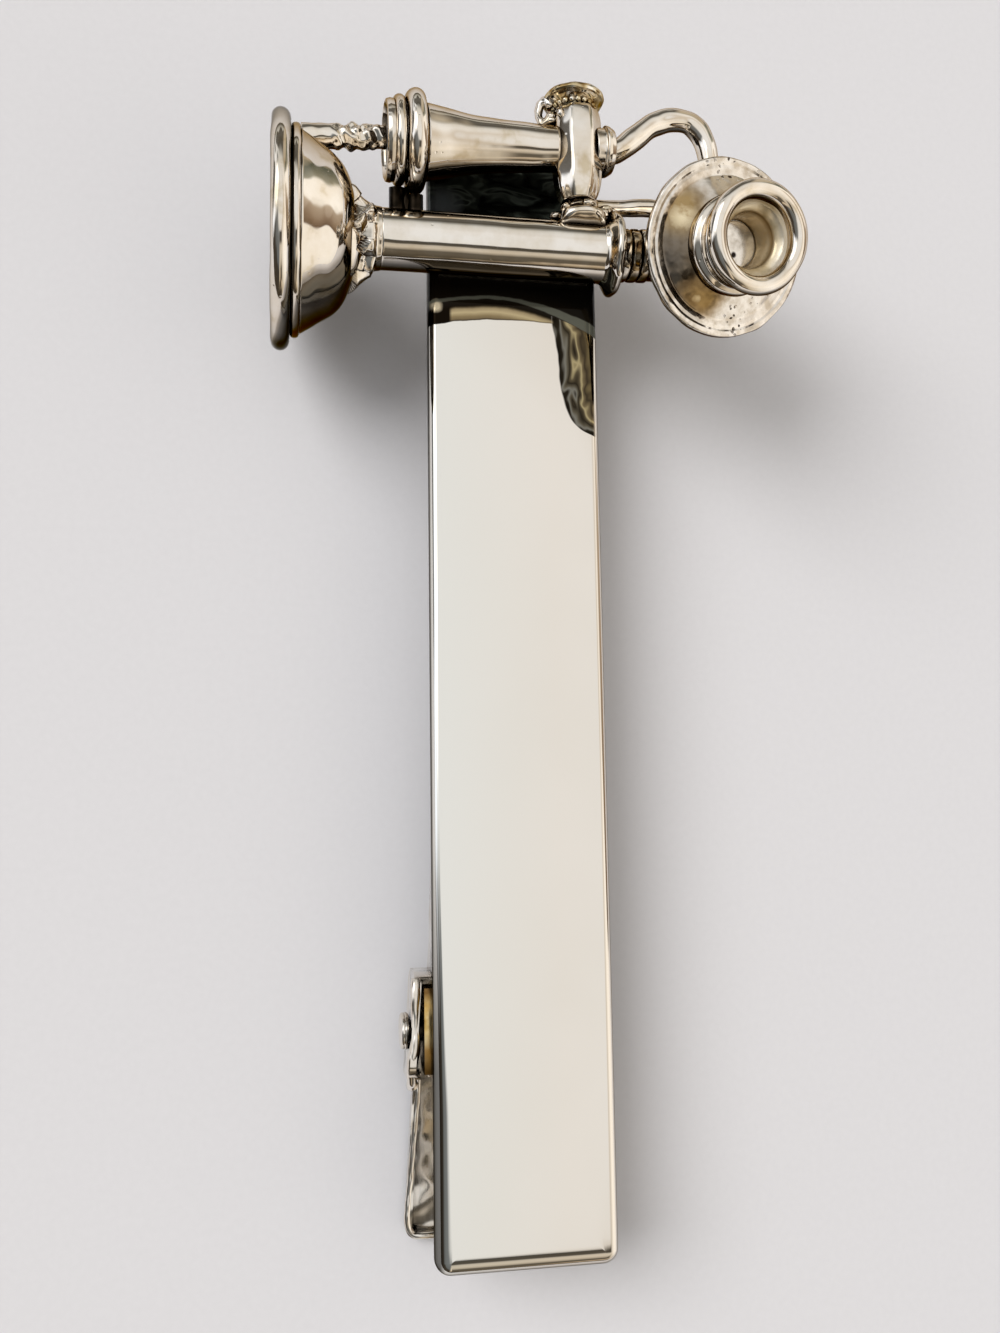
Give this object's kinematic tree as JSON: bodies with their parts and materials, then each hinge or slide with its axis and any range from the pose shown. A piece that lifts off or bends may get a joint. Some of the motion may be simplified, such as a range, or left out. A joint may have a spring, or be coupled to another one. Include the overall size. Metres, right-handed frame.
{
  "type": "tie clip",
  "caption": "Polished metal tie clip: flat rounded bar with a small cast candlestick telephone lying across its head and a sprung toothed lever hinged behind it.",
  "frame": {"origin": "centre of the bounding box's base, on the plane of the lever's paddle end, which is the clip's lowest point when it lies on its back", "axes": "+X across the bar toward the telephone's mouthpiece, +Y up the bar from its plain end to the telephone, +Z out of the bar's front"},
  "size_m": [0.0282, 0.0622, 0.0157],
  "materials": {
    "bar_polish": "polished",
    "cast_silver": "polished",
    "dark_recess": "satin",
    "solder": "satin",
    "mirror_disc": "polished",
    "gilt_bracket": "polished",
    "lever_polish": "polished",
    "spring_wire": "satin"
  },
  "bodies": {
    "clip_body": {"front_bar": "bar_polish", "stem_seat": "solder", "foot": "cast_silver", "foot_bead": "cast_silver", "bell": "cast_silver", "ferrule": "cast_silver", "stem": "cast_silver", "collar": "cast_silver", "neck": "cast_silver", "swivel_lug": "cast_silver", "transmitter_cup": "cast_silver", "faceplate": "cast_silver", "mouthpiece": "cast_silver", "mouthpiece_disc": "mirror_disc", "ear_cap": "dark_recess", "ear_bands": "cast_silver", "receiver_shell": "cast_silver", "receiver_tail": "cast_silver", "receiver_posts": "solder", "hook_flange": "cast_silver", "hook_column": "cast_silver", "hook_finial": "cast_silver", "hook_curl": "cast_silver", "cord_loop": "cast_silver", "cord_rod": "cast_silver", "hinge_bracket": "gilt_bracket", "hinge_pin": "lever_polish", "torsion_spring": "spring_wire"},
    "lever": {"clip_lever": "lever_polish"}
  },
  "joints": [
    {"name": "lever_hinge", "type": "hinge", "parent": "clip_body", "child": "lever", "pos_m": [-0.00131, -0.01941, 0.0026], "axis": [-1, 0, 0], "range_deg": [0, 17], "stiffness_Nm_per_rad": 0.06, "springref_deg": -34.38, "deforming": ["torsion_spring"]}
  ]
}
